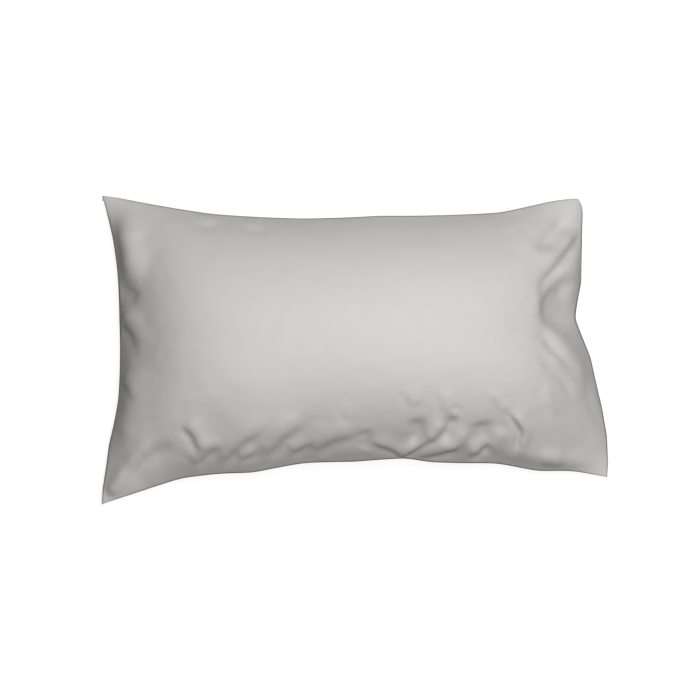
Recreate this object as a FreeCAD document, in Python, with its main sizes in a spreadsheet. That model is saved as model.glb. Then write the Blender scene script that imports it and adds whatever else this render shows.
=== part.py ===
"""Bed pillow: a fibre-filled ticking pillow inside a tuck-in cotton pillowcase, lying flat.

Millimetres, +Z up. The origin is under the middle of the pillow, on the surface that it lies on. +X points to the
case's open end (its mouth) and +Y to its far long side.

Every cloth is a layer over one plan, a four-sided outline with bowed sides. A place on the plan is (u, v): u runs
from -1 at the closed end to 1 at the mouth, and v from -1 at the near side to 1 at the far side.
"""

import FreeCAD, Part
import Sketcher
import os

CUBIC = 3
DRIVING_DIMENSIONS = [
    ("ClosedEndX", 380.0, "centre to the closed end's corners"),
    ("ClosedEndY", 232.0, "centre line to the closed end's corners"),
    ("MouthFarX", 340.0, "far corner of the mouth, along the length"),
    ("MouthFarY", 227.0, "far corner of the mouth, across"),
    ("MouthNearX", 380.0, "near corner of the mouth, along the length"),
    ("MouthNearY", -191.0, "near corner of the mouth, across"),
    ("BowFar", 33.0, "how far the far side bows in at its middle"),
    ("BowNear", 46.0, "how far the near side bows in at its middle"),
    ("BowClosed", 27.0, "how far the closed end bows in"),
    ("BowMouth", 19.0, "how far the mouth bows in"),
    ("SeamHeight", 78.0, "height of the side seams at mid length"),
    ("SeamDrop", 60.0, "how much lower the seams are at both ends"),
    ("CrownTop", 118.0, "rise of the front panel above the seam"),
    ("CrownBottom", 112.0, "fall of the back panel below the seam, before the floor stops it"),
    ("ClothThick", 1.0, "thickness that every cloth is drawn with"),
    ("SeamThick", 2.0, "thickness of the case's French seams"),
    ("SeamWide", 8.0, "width of the case's French seams"),
    ("MouthLift", 2.5, "how far the front panel's mouth edge stands up at its middle"),
    ("MouthFall", 1.5, "how far the back panel's mouth edge hangs down at its middle"),
    ("FlapDepth", 150.0, "how far the tuck-in flap reaches into the case"),
    ("FlapFold", 26.0, "length over which the flap turns down behind the mouth"),
    ("FlapGap", 3.2, "height of the flap over the back panel"),
    ("BackHemWide", 20.0, "width of the back panel's double-turned hem"),
    ("FlapHemWide", 12.0, "width of the flap's double-turned hem"),
    ("HemThick", 1.5, "thickness that a hem adds"),
    ("ThreadThick", 0.7, "thickness of a row of stitches"),
    ("InsertGap", 5.8, "height of the ticking over the back panel's inside"),
    ("InsertDrop", 3.0, "how much lower the ticking's crown is than the case's"),
    ("EdgeGap", 1.2, "space between the ticking's panels at their edge, which the fill takes"),
    ("PipingRadius", 1.3, "radius of the ticking's piping"),
    ("PipingOut", 1.7, "distance of the piping's centre outside the ticking's edge"),
    ("BasePlateX", 400.0, "length of the flat that the pillow rests on"),
    ("BasePlateY", 170.0, "width of the flat that the pillow rests on"),
    ("BaseStep", 0.15, "how far that flat stands out of the cloth"),
    ("LabelWide", 26.0, "width of a care label"),
    ("LabelLong", 38.0, "length of a care label"),
    ("LabelThick", 0.6, "thickness of a care label"),
]
# Where things lie on the plan, as shares of it.
WHOLE = (-1.0, 1.0)
INSERT_U = (-0.965, 0.895)
INSERT_V = (-0.943, 0.943)
FLAP_V = (-0.93, 0.93)
BACK_HEM_V = (-0.87, 0.87)
SEAM_END_U = 0.98
TACK_U = (0.983, 0.999)
TACK_V = (0.970, 0.997)
CLOSING_V = (0.15, 0.62)
CASE_LABEL_AT = (-0.42, -0.95)
TICKING_LABEL_AT = (0.40, -0.91)
LAYER_GAP = 0.2

doc = FreeCAD.newDocument("BedPillow")
sheet = doc.addObject("Spreadsheet::Sheet", "Dimensions")
for row, (alias, value, meaning) in enumerate(DRIVING_DIMENSIONS, start=1):
    sheet.set(f"A{row}", meaning)
    sheet.set(f"B{row}", str(value))
    sheet.setAlias(f"B{row}", alias)
doc.recompute()


def size(alias):
    """A driving dimension's value, in millimetres."""
    return float(sheet.get(alias))


# ---------------------------------------------------------------- the plan and the heights over it


def plan(u, v):
    """The place (x, y) on the plan of (u, v): straight between the corners, then bowed in on each side."""
    near, far = (1 - v) / 2, (1 + v) / 2
    closed, mouth = (1 - u) / 2, (1 + u) / 2
    x = -size("ClosedEndX") * closed + (size("MouthNearX") * near + size("MouthFarX") * far) * mouth
    y_closed = size("ClosedEndY") * (far - near)
    y_mouth = size("MouthNearY") * near + size("MouthFarY") * far
    x += (size("BowClosed") * closed - size("BowMouth") * mouth) * (1 - v * v)
    y = y_closed * closed + y_mouth * mouth
    y += (size("BowNear") * near - size("BowFar") * far) * (1 - u * u)
    return x, y


def seam_height(u, v):
    """Height of the middle of the side seams, which droop towards both ends."""
    x = plan(u, v)[0]
    return size("SeamHeight") - size("SeamDrop") * (x / size("ClosedEndX")) ** 2


def crown(u, v):
    """Share of the full loft: 1 in the middle, 0 along the edges, flatter along the length than across."""
    return (1 - abs(u) ** 6) * (1 - abs(v) ** 2.5)


def at_mouth(u, v):
    """1 at the middle of the mouth's edge, and soon 0 behind it."""
    return ((1 + u) / 2) ** 9 * (1 - v * v)


def front_inside(u, v):
    """Height of the front panel's inner face."""
    lift = size("CrownTop") * crown(u, v) + size("MouthLift") * at_mouth(u, v)
    return seam_height(u, v) + size("SeamThick") / 2 + lift


def back_inside(u, v):
    """Height of the back panel's inner face, which lies flat where it meets the floor."""
    fall = size("CrownBottom") * crown(u, v) + size("MouthFall") * at_mouth(u, v)
    floor = size("ClothThick") + size("BaseStep")
    return max(seam_height(u, v) - size("SeamThick") / 2 - fall, floor)


def insert_share(u, v):
    """The place (u, v) as shares of the insert's own length and width, from -1 to 1."""
    mid_u, half_u = sum(INSERT_U) / 2, (INSERT_U[1] - INSERT_U[0]) / 2
    mid_v, half_v = sum(INSERT_V) / 2, (INSERT_V[1] - INSERT_V[0]) / 2
    return (u - mid_u) / half_u, (v - mid_v) / half_v


def ticking_top(u, v):
    """Height of the top ticking's inner face."""
    lift = (size("CrownTop") - size("InsertDrop")) * crown(*insert_share(u, v))
    return seam_height(u, v) + size("EdgeGap") / 2 + lift


def ticking_bottom(u, v):
    """Height of the bottom ticking's inner face."""
    edge = seam_height(u, v) - size("EdgeGap") / 2
    fall = (size("CrownBottom") - size("InsertDrop")) * crown(*insert_share(u, v))
    floor = size("ClothThick") * 2 + size("InsertGap")
    return max(edge - fall, min(floor, edge))


# ---------------------------------------------------------------- spline cloth


def knots_for(count):
    """Even knots, and how often each counts, of a clamped spline with that many poles. Returns the degree too."""
    degree = min(CUBIC, count - 1)
    spans = count - degree
    return [float(k) for k in range(spans + 1)], [degree + 1] + [1] * (spans - 1) + [degree + 1], degree


def pole_places(span, count):
    """Where along a span the poles go, so that a straight line comes out straight and evenly paced."""
    knots, counts, degree = knots_for(count)
    flat = [knot for knot, many in zip(knots, counts) for _ in range(many)]
    shares = [sum(flat[i + 1 : i + 1 + degree]) / degree / knots[-1] for i in range(count)]
    return [span[0] + (span[1] - span[0]) * share for share in shares]


class Cloth:
    """A smooth surface over a stretch of the plan. height gives its height at (u, v)."""

    def __init__(self, u_span, v_span, height, across=(25, 15)):
        self.spans = (u_span, v_span)
        poles = []
        for u in pole_places(u_span, across[0]):
            row = [FreeCAD.Vector(*plan(u, v), height(u, v)) for v in pole_places(v_span, across[1])]
            poles.append(row)
        (knots_u, counts_u, degree_u), (knots_v, counts_v, degree_v) = knots_for(across[0]), knots_for(across[1])
        self.surface = Part.BSplineSurface()
        self.surface.buildFromPolesMultsKnots(
            poles, counts_u, counts_v, knots_u, knots_v, False, False, degree_u, degree_v
        )

    def parameters(self, u, v):
        """The surface's own parameters at a place on the plan."""
        ends = self.surface.bounds()
        out = []
        for at, span, low, high in ((u, self.spans[0], *ends[:2]), (v, self.spans[1], *ends[2:])):
            share = (at - span[0]) / (span[1] - span[0])
            out.append(low + (high - low) * min(max(share, 0.0), 1.0))
        return out

    def point(self, u, v):
        return self.surface.value(*self.parameters(u, v))

    def height(self, u, v):
        return self.point(u, v).z

    def slab(self, low, high, u_span=None, v_span=None):
        """The solid from low to high above this cloth, over all of it or over a stretch of it."""
        u_span, v_span = u_span or self.spans[0], v_span or self.spans[1]
        faces = []
        for lift in (low, high):
            face = self.surface.copy()
            (u0, v0), (u1, v1) = self.parameters(u_span[0], v_span[0]), self.parameters(u_span[1], v_span[1])
            if (u0, u1, v0, v1) != tuple(face.bounds()):
                face.segment(u0, u1, v0, v1)
            face.translate(FreeCAD.Vector(0, 0, lift))
            faces.append(face)
        return solid_between(*faces)


def solid_between(under, over):
    """The solid between two surfaces that have the same outline in plan, closed by upright sides."""
    sides = []
    for line in ("uIso", "vIso"):
        for end in (0, 1):
            edges = []
            for face in (under, over):
                bounds = face.bounds()
                at = bounds[end] if line == "uIso" else bounds[2 + end]
                edges.append(getattr(face, line)(at).toShape())
            sides.append(Part.makeRuledSurface(*edges))
    shell = Part.Shell([under.toShape(), over.toShape(), *sides])
    shell.sewShape()
    solid = Part.Solid(shell)
    if solid.Volume < 0:
        solid.reverse()
    return solid


def node(name, shape):
    feature = doc.addObject("Part::Feature", name)
    feature.Label = name
    feature.Shape = shape
    return feature


def length_share(width):
    """A width along the length, as a share of u."""
    return width / size("ClosedEndX")


def width_share(width):
    """A width across, as a share of v."""
    return width / size("ClosedEndY")


# ---------------------------------------------------------------- the pillowcase


def case_panels():
    thick = size("ClothThick")
    front = node("case_front_panel", front_cloth.slab(0, thick))
    back = node("back_cloth", back_cloth.slab(-thick, 0))
    return front, back


def flat_base(cloth):
    """Gives the back panel a true flat where the pillow rests. It stands out of the cloth by BaseStep."""
    plate = doc.addObject("Part::Box", "base_plate")
    plate.setExpression("Length", "Dimensions.BasePlateX")
    plate.setExpression("Width", "Dimensions.BasePlateY")
    plate.setExpression("Height", "Dimensions.ClothThick")
    plate.setExpression("Placement.Base.x", "-Dimensions.BasePlateX / 2 - 10")
    plate.setExpression("Placement.Base.y", "-Dimensions.BasePlateY / 2 + 12")
    panel = doc.addObject("Part::Fuse", "case_back_panel")
    panel.Base = cloth
    panel.Tool = plate
    panel.Label = "case_back_panel"
    return panel


def case_seams():
    """French seams, folded inside the case between the two panels, along both sides and the closed end."""
    half = size("SeamThick") / 2 - LAYER_GAP / 2
    inner = 1 - width_share(size("SeamWide"))
    end_v = inner - width_share(LAYER_GAP * 2)
    end_u = -1 + length_share(size("SeamWide"))
    along = (-1.0, SEAM_END_U)
    far = Cloth(along, (inner, 1.0), seam_height, (25, 4))
    near = Cloth(along, (-1.0, -inner), seam_height, (25, 4))
    end = Cloth((-1.0, end_u), (-end_v, end_v), seam_height, (4, 15))
    names = ("case_far_seam", "case_near_seam", "case_end_seam")
    return [node(name, seam.slab(-half, half)) for name, seam in zip(names, (far, near, end))]


def mouth_tacks():
    """A bar tack at the mouth's end of each side seam, through both panels' seam allowance."""
    half = size("SeamThick") / 2 - LAYER_GAP / 2
    tacks = []
    for v_span in (TACK_V, (-TACK_V[1], -TACK_V[0])):
        tacks.append(Cloth(TACK_U, v_span, seam_height, (4, 4)).slab(-half, half))
    return node("case_mouth_tacks", Part.makeCompound(tacks))


def flap_height(u, v):
    """The flap hangs from the front panel's mouth edge, turns down behind it and lies along the back panel."""
    turned = min(max((1 - u) / length_share(size("FlapFold")), 0.0), 1.0)
    turned = turned * turned * (3 - 2 * turned)
    at_edge = front_cloth.height(u, v) - size("ClothThick")
    lying = min(back_cloth.height(u, v) + size("FlapGap"), at_edge)
    return at_edge + (lying - at_edge) * turned


def case_flap(flap):
    """The tuck-in flap, and the double-turned hem under its free edge."""
    hem_end = flap.spans[0][0] + length_share(size("FlapHemWide"))
    hem = flap.slab(-LAYER_GAP - size("HemThick"), -LAYER_GAP, (flap.spans[0][0], hem_end))
    return [node("case_tuck_flap", flap.slab(0, size("ClothThick"))), node("case_flap_hem", hem)]


def back_hem():
    """The back panel's double-turned hem at the mouth, on the inside."""
    start = 1 - length_share(size("BackHemWide"))
    hem = back_cloth.slab(LAYER_GAP, LAYER_GAP + size("HemThick"), (start, 1.0), BACK_HEM_V)
    return node("case_back_hem", hem)


def hem_stitching(flap):
    """One row of thread along each hem, on its upper face."""
    thread = size("ThreadThick")
    row = length_share(thread)
    back_at = 1 - length_share(size("BackHemWide") - 2.0)
    flap_at = flap.spans[0][0] + length_share(size("FlapHemWide") - 2.0)
    over_hem = LAYER_GAP * 1.5 + size("HemThick")
    over_flap = size("ClothThick") + LAYER_GAP / 2
    rows = [
        back_cloth.slab(over_hem, over_hem + thread, (back_at, back_at + row), BACK_HEM_V),
        flap.slab(over_flap, over_flap + thread, (flap_at, flap_at + row), FLAP_V),
    ]
    return node("case_hem_stitching", Part.makeCompound(rows))


# ---------------------------------------------------------------- the pillow inside


def ticking_panels():
    thick = size("ClothThick")
    top = node("ticking_top_panel", top_ticking.slab(0, thick))
    bottom = node("ticking_bottom_panel", bottom_ticking.slab(-thick, 0))
    return [top, bottom]


def fibre_fill():
    """The filling, which takes up all of the room inside the ticking."""
    low, high = bottom_ticking.surface.copy(), top_ticking.surface.copy()
    low.translate(FreeCAD.Vector(0, 0, LAYER_GAP))
    high.translate(FreeCAD.Vector(0, 0, -LAYER_GAP))
    return node("fibre_fill", solid_between(low, high))


def closing_stitch():
    """The row of stitches that closed the ticking after it was filled, beside the edge at the mouth's end."""
    start = INSERT_U[1] - length_share(6.0)
    low = size("ClothThick") + LAYER_GAP / 2
    along = (start, start + length_share(size("ThreadThick")))
    return node("ticking_closing_stitch", top_ticking.slab(low, low + size("ThreadThick"), along, CLOSING_V))


def piping_side(start, end, count):
    """Places along one side of the ticking, its first corner included and its last left for the next side."""
    shares = [0.0, 0.008, 0.025] + [0.06 + 0.88 * k / (count - 1) for k in range(count)] + [0.975, 0.992]
    return [(start[0] + (end[0] - start[0]) * s, start[1] + (end[1] - start[1]) * s) for s in shares]


def piping():
    """The corded piping sewn into the ticking's edge: one closed loop that turns round the corners."""
    (u0, u1), (v0, v1) = INSERT_U, INSERT_V
    corners = [(u0, v0), (u1, v0), (u1, v1), (u0, v1)]
    centre = []
    for k, count in enumerate((24, 14, 24, 14)):
        side = piping_side(corners[k], corners[(k + 1) % 4], count)
        centre += [FreeCAD.Vector(*plan(u, v), seam_height(u, v)) for u, v in side]
    up = FreeCAD.Vector(0, 0, 1)
    # Eight poles round a cubic loop lie this much outside the circle that they make.
    pole_radius = size("PipingRadius") * 1.115
    poles = []
    for k, place in enumerate(centre):
        before = (place - centre[k - 1]).normalize()
        after = (centre[(k + 1) % len(centre)] - place).normalize()
        outward = (before + after).cross(up).normalize()
        # At a corner the line has to stand off by more, to stay as far from both sides.
        stand_off = size("PipingOut") * (1.0 if before.dot(after) > 0.9 else 2.2)
        middle = place + outward * stand_off
        ring = []
        for across, rise in ((1, 0), (0.7071, 0.7071), (0, 1), (-0.7071, 0.7071)):
            ring.append(outward * across + up * rise)
        ring += [spoke * -1 for spoke in ring]
        poles.append([middle + spoke * pole_radius for spoke in ring])
    surface = Part.BSplineSurface()
    knots = [[float(k) for k in range(many + 1)] for many in (len(poles), len(poles[0]))]
    counts = [[1] * len(each) for each in knots]
    surface.buildFromPolesMultsKnots(poles, counts[0], counts[1], knots[0], knots[1], True, True, CUBIC, CUBIC)
    solid = Part.Solid(Part.Shell([surface.toShape()]))
    if solid.Volume < 0:
        solid.reverse()
    return node("ticking_piping", solid)


# ---------------------------------------------------------------- care labels


def label_outline(body, name):
    """A rectangle from the sketch's origin, as wide and long as the sheet says."""
    sketch = body.newObject("Sketcher::SketchObject", name)
    flat = [feature for feature in body.Origin.OriginFeatures if feature.Role == "XY_Plane"][0]
    sketch.AttachmentSupport = [(flat, "")]
    sketch.MapMode = "FlatFace"
    wide, long = size("LabelWide"), size("LabelLong")
    corners = [FreeCAD.Vector(x, y, 0) for x, y in ((0, 0), (wide, 0), (wide, long), (0, long))]
    for k in range(4):
        sketch.addGeometry(Part.LineSegment(corners[k], corners[(k + 1) % 4]), False)
    for k in range(4):
        sketch.addConstraint(Sketcher.Constraint("Coincident", k, 2, (k + 1) % 4, 1))
    for k, kind in enumerate(("Horizontal", "Vertical", "Horizontal", "Vertical")):
        sketch.addConstraint(Sketcher.Constraint(kind, k))
    sketch.addConstraint(Sketcher.Constraint("Coincident", 0, 1, -1, 1))
    for k, alias in ((0, "LabelWide"), (1, "LabelLong")):
        which = sketch.addConstraint(Sketcher.Constraint("Distance", k, 1, k, 2, size(alias)))
        sketch.renameConstraint(which, alias)
        sketch.setExpression(f"Constraints.{alias}", f"Dimensions.{alias}")
    return sketch


def label(name, at, cloth, lift):
    """A blank label sewn into the near side seam. It lies along a cloth, lifted off it, and points inwards."""
    body = doc.addObject("PartDesign::Body", name)
    body.Label = name
    pad = body.newObject("PartDesign::Pad", name + "_pad")
    pad.Profile = label_outline(body, name + "_outline")
    pad.setExpression("Length", "Dimensions.LabelThick")
    corner = cloth.point(*at)
    along = (cloth.point(at[0] + length_share(size("LabelWide")), at[1]) - corner).normalize()
    inward = (cloth.point(at[0], at[1] + width_share(size("LabelLong"))) - corner).normalize()
    normal = along.cross(inward).normalize()
    inward = normal.cross(along)
    corner = corner + normal * lift
    rows = [(along[k], inward[k], normal[k], corner[k]) for k in range(3)] + [(0, 0, 0, 1)]
    body.Placement = FreeCAD.Placement(FreeCAD.Matrix(*[value for row in rows for value in row]))
    return body


# ---------------------------------------------------------------- build, test and write

front_cloth = Cloth(WHOLE, WHOLE, front_inside)
back_cloth = Cloth(WHOLE, WHOLE, back_inside)
flap_cloth = Cloth((1 - length_share(size("FlapDepth")), 1.0), FLAP_V, flap_height, (31, 27))
top_ticking = Cloth(INSERT_U, INSERT_V, ticking_top)
bottom_ticking = Cloth(INSERT_U, INSERT_V, ticking_bottom)

front_panel, plain_back = case_panels()
nodes = [front_panel, flat_base(plain_back)]
nodes += case_seams()
nodes += case_flap(flap_cloth)
nodes += [back_hem(), hem_stitching(flap_cloth), mouth_tacks()]
nodes += ticking_panels()
nodes += [fibre_fill(), piping(), closing_stitch()]
nodes.append(label("case_care_label", CASE_LABEL_AT, back_cloth, 0.8))
nodes.append(label("ticking_care_label", TICKING_LABEL_AT, top_ticking, 2.8))
doc.recompute()

for item in doc.Objects:
    if "Invalid" in item.State or "Error" in item.State:
        raise RuntimeError(f"{item.Name} failed to build")
os.makedirs("parts", exist_ok=True)
for item in nodes:
    shape = item.Shape
    if shape.isNull() or not shape.isValid():
        raise RuntimeError(f"{item.Label} has no valid shape")
    box = shape.BoundBox
    print(f"{item.Label}: {len(shape.Solids)} solid(s), {shape.Volume:.0f} mm3, z {box.ZMin:.2f} to {box.ZMax:.2f}")
    shape.exportStep(os.path.join("parts", item.Label + ".step"))
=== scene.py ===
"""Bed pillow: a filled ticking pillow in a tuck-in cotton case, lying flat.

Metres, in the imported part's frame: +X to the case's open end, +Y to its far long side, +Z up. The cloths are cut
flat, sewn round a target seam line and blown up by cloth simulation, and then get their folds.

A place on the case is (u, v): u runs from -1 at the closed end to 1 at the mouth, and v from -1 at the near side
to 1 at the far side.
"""

import math

import bmesh
import bpy
import numpy as np
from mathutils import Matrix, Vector
from mathutils.bvhtree import BVHTree


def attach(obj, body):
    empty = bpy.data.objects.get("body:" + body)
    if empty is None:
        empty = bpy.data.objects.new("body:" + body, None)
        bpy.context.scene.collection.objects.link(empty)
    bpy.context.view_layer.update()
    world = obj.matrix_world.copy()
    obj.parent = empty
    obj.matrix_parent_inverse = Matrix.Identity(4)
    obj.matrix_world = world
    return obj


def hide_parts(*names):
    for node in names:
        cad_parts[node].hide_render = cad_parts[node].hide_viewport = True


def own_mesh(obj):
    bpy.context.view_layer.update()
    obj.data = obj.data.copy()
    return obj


bl_info = {
    "name": "Bed pillow",
    "version": (1, 0, 0),
    "blender": (4, 5, 0),
    "location": "View3D > Sidebar > Pillow",
    "description": "Builds a bed pillow in its case, piece by piece, on a packed frame",
    "category": "Add Mesh",
}

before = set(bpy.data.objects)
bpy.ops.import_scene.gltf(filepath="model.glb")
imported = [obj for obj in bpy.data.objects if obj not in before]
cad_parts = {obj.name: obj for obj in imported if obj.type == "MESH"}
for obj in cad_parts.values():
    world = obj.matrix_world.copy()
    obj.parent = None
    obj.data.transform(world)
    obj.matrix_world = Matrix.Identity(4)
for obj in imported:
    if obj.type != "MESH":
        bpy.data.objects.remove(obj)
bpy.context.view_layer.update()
MM = 0.001
CASE, INSERT, SLIDE = "case", "insert", "insert_slide"

# The plan's corners and the bow of its sides, in millimetres.
CLOSED_FAR, CLOSED_NEAR = (-380.0, 232.0), (-380.0, -232.0)
MOUTH_FAR, MOUTH_NEAR = (340.0, 227.0), (380.0, -191.0)
BOW_FAR, BOW_NEAR, BOW_CLOSED, BOW_MOUTH = 33.0, 46.0, 27.0, 19.0
SEAM_HEIGHT, SEAM_DROP = 78.0, 60.0
CROWN_TOP, CROWN_BOTTOM = 118.0, 112.0
# How each side strays from its bow: share along the side, and millimetres towards +X or +Y.
FAR_STRAY = (
    (0, 1), (0.03, 2), (0.23, -4), (0.42, -2), (0.58, 3), (0.7, 0), (0.83, -4), (0.94, 3), (0.985, 2), (1, 0),
)  # fmt: skip
NEAR_STRAY = (
    (0, 0), (0.07, 3), (0.16, 9), (0.23, 5), (0.3, -2), (0.4, 3), (0.5, -1), (0.6, 2),
    (0.65, -4), (0.71, -4), (0.78, -1), (0.86, -7), (0.93, 0), (1, -1),
)  # fmt: skip
CLOSED_STRAY = (
    (0, 0), (0.05, -4), (0.12, -5), (0.19, -6), (0.27, -2), (0.34, 1), (0.6, 1), (0.76, 4), (0.86, 4), (1, 1),
)  # fmt: skip
MOUTH_STRAY = (
    (0, 0), (0.05, 7), (0.15, 15), (0.25, 16), (0.35, 13), (0.43, 10), (0.51, 0), (0.57, -8),
    (0.63, -3), (0.7, 4), (0.82, 5), (0.95, 4), (0.98, 2), (1, -5),
)  # fmt: skip

# Places (u, v) on the case: the ends and side of the ticking, the flap's side, and where each label's corner is sewn.
INSERT_U, INSERT_V = (-0.955, 0.885), 0.930
FLAP_V, HEM_V = 0.92, 0.86
CASE_LABEL_AT, TICKING_LABEL_AT = (-0.42, -0.95), (0.40, -0.955)

# Sizes of the filled case and of the flat cloths, in metres.
CASE_LONG, CASE_WIDE = 0.76, 0.46
PANEL_CUT = (0.5, 0.8)
TICKING_CUT = (0.47, 0.76)
FLAP_CUT = (0.15, 0.5)
LABEL_CUT = (0.026, 0.038)
FLAP_FOLD, FLAP_GAP = 0.026, 0.0032
BACK_HEM_WIDE, FLAP_HEM_WIDE = 0.020, 0.012
FLOOR_REST = 0.4 * MM  # how far the case's underside stays off the floor

COTTON, TICKING, THREAD = (0.715, 0.705, 0.675), (0.86, 0.86, 0.84), (0.74, 0.73, 0.70)
WADDING, SATIN = (0.9, 0.9, 0.89), (0.86, 0.86, 0.85)

# What the operators hand on to each other: grids of points by name, and finishes by slot.
work = {}


# ---------------------------------------------------------------- numbers along lines and over grids


def smooth_step(value):
    """Rises smoothly from 0 to 1 as value does."""
    value = np.clip(value, 0.0, 1.0)
    return value * value * (3 - 2 * value)


def through(stations, at):
    """A smooth line through (place, value) stations."""
    places, values = zip(*stations)
    fine = np.linspace(places[0], places[-1], 801)
    line = np.interp(fine, places, values)
    reach = 24
    kernel = np.hanning(2 * reach + 1)
    padded = np.concatenate([2 * line[0] - line[reach:0:-1], line, 2 * line[-1] - line[-2 : -reach - 2 : -1]])
    return np.interp(at, fine, np.convolve(padded, kernel / kernel.sum(), "valid"))


def between_four(values, i, j, a, b):
    """What a grid of values holds at share a from row i to the next, and share b from column j to the next."""
    low = values[i, j] * (1 - a) + values[i + 1, j] * a
    high = values[i, j + 1] * (1 - a) + values[i + 1, j + 1] * a
    return low * (1 - b) + high * b


def uneven(length, spacing, seed):
    """An uneven line from -1 to 1 over so many metres, with a bump about every spacing metres."""
    rng = np.random.default_rng(seed)
    count = max(int(length / spacing), 4)
    knots = rng.uniform(-1, 1, count + 3)

    def at(distance):
        place = np.clip(np.asarray(distance) / length, 0, 1) * count
        low = np.minimum(place.astype(int), count - 1)
        share = smooth_step(place - low)
        return knots[low] * (1 - share) + knots[low + 1] * share

    return at


def uneven_field(x, y, spacing, seed):
    """The same over the plan: an uneven field from -1 to 1, with a bump about every spacing metres."""
    count, start = 120, -0.6
    knots = np.random.default_rng(seed).uniform(-1, 1, (count, count))
    px, py = (x - start) / spacing, (y - start) / spacing
    i, j = px.astype(int) % (count - 2), py.astype(int) % (count - 2)
    a, b = smooth_step(px - np.floor(px)), smooth_step(py - np.floor(py))
    return between_four(knots, i, j, a, b)


def doubled(grid):
    """A grid of points with one more between each two, on a smooth line through them."""
    for axis in (0, 1):
        g = np.moveaxis(grid, axis, 0)
        before = np.concatenate([2 * g[:1] - g[1:2], g[:-2]])
        after = np.concatenate([g[2:], 2 * g[-1:] - g[-2:-1]])
        middle = (9 * (g[:-1] + g[1:]) - before - after) / 16
        out = np.empty((2 * len(g) - 1, *g.shape[1:]))
        out[0::2], out[1::2] = g, middle
        grid = np.moveaxis(out, 0, axis)
    return grid


def eased(grid, rounds, mask=None):
    """A grid with its unevenness eased out, its edges kept."""
    for _ in range(rounds):
        mean = (grid[2:, 1:-1] + grid[:-2, 1:-1] + grid[1:-1, 2:] + grid[1:-1, :-2]) / 4
        step = (mean - grid[1:-1, 1:-1]) * 0.6
        if mask is not None:
            step = step * mask[1:-1, 1:-1, None]
        grid = grid.copy()
        grid[1:-1, 1:-1] += step
    return grid


def normals_of(grid):
    """Unit normals of a grid of points, on the side where u turns to v anticlockwise."""
    across = np.cross(np.gradient(grid, axis=0), np.gradient(grid, axis=1))
    return across / np.maximum(np.linalg.norm(across, axis=2, keepdims=True), 1e-12)


def sampled(grid, u, v):
    """Points of the grid at places u and v on the case, between its own points."""
    rows, columns = grid.shape[:2]
    pu = np.clip((np.asarray(u) + 1) / 2, 0, 1) * (rows - 1)
    pv = np.clip((np.asarray(v) + 1) / 2, 0, 1) * (columns - 1)
    i, j = np.minimum(pu.astype(int), rows - 2), np.minimum(pv.astype(int), columns - 2)
    a, b = (pu - i)[..., None], (pv - j)[..., None]
    return between_four(grid, i, j, a, b)


# ---------------------------------------------------------------- the seam line


def seam_z(x):
    """Height of the seams, which droop towards both ends."""
    return (SEAM_HEIGHT - SEAM_DROP * (x / (CLOSED_FAR[0] * MM)) ** 2) * MM


def side(start, end, bow, axis, stray, share):
    """Points (x, y) along one side of the plan, in metres."""
    share = np.asarray(share, float)
    points = np.outer(1 - share, start) + np.outer(share, end)
    points[:, axis] += bow * (1 - (2 * share - 1) ** 2) + through(stray, share)
    return points * MM


def outline(rows, columns):
    """The four sides as grids' edges: near and far of that many rows, closed and mouth of that many columns."""
    s, t = np.linspace(0, 1, rows), np.linspace(0, 1, columns)
    far = side(CLOSED_FAR, MOUTH_FAR, -BOW_FAR, 1, FAR_STRAY, s)
    near = side(CLOSED_NEAR, MOUTH_NEAR, BOW_NEAR, 1, NEAR_STRAY, s)
    closed = side(CLOSED_NEAR, CLOSED_FAR, BOW_CLOSED, 0, CLOSED_STRAY, t)
    mouth = side(MOUTH_NEAR, MOUTH_FAR, -BOW_MOUTH, 0, MOUTH_STRAY, t)
    for line, first, last in ((far, closed[-1], mouth[-1]), (near, closed[0], mouth[0])):
        # Only near its ends is a long side drawn to the short sides' corners.
        to_first = np.outer(1 - s, first - line[0]) * (1 - s[:, None]) ** 8
        to_last = np.outer(s, last - line[-1]) * s[:, None] ** 8
        line += to_first + to_last
    return near, far, closed, mouth


def filled_plan(rows, columns):
    """The plan as a grid of points (x, y), its inside drawn evenly between its four sides."""
    near, far, closed, mouth = outline(rows, columns)
    s, t = np.linspace(0, 1, rows)[:, None, None], np.linspace(0, 1, columns)[None, :, None]
    across = near[:, None] * (1 - t) + far[:, None] * t
    along = closed[None] * (1 - s) + mouth[None] * s
    corners = (near[0] * (1 - s) + near[-1] * s) * (1 - t) + (far[0] * (1 - s) + far[-1] * s) * t
    return across + along - corners


def places_uv(rows, columns):
    """The places u and v of a grid that covers the whole case."""
    return np.meshgrid(np.linspace(-1, 1, rows), np.linspace(-1, 1, columns), indexing="ij")


# ---------------------------------------------------------------- meshes


def grid_faces(rows, columns, flip=False):
    """The quads of a grid of points that is stored row by row."""
    index = np.arange(rows * columns).reshape(rows, columns)
    quads = np.stack([index[:-1, :-1], index[1:, :-1], index[1:, 1:], index[:-1, 1:]], axis=-1).reshape(-1, 4)
    return quads[:, ::-1] if flip else quads


def new_object(name, points, faces, material=None, cloth_uv=None):
    """A smooth-shaded mesh object. cloth_uv gives each point's place on the flat cloth, in metres."""
    mesh = bpy.data.meshes.new(name)
    mesh.from_pydata([tuple(p) for p in np.asarray(points, float).tolist()], [], np.asarray(faces).tolist())
    mesh.polygons.foreach_set("use_smooth", [True] * len(mesh.polygons))
    if cloth_uv is not None:
        layer = mesh.uv_layers.new(name="cloth")
        loops = np.empty(len(mesh.loops), np.int32)
        mesh.loops.foreach_get("vertex_index", loops)
        layer.data.foreach_set("uv", np.asarray(cloth_uv, np.float32)[loops].ravel())
    if material is not None:
        mesh.materials.append(material)
    mesh.update()
    obj = bpy.data.objects.new(name, mesh)
    bpy.context.scene.collection.objects.link(obj)
    return obj


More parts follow.
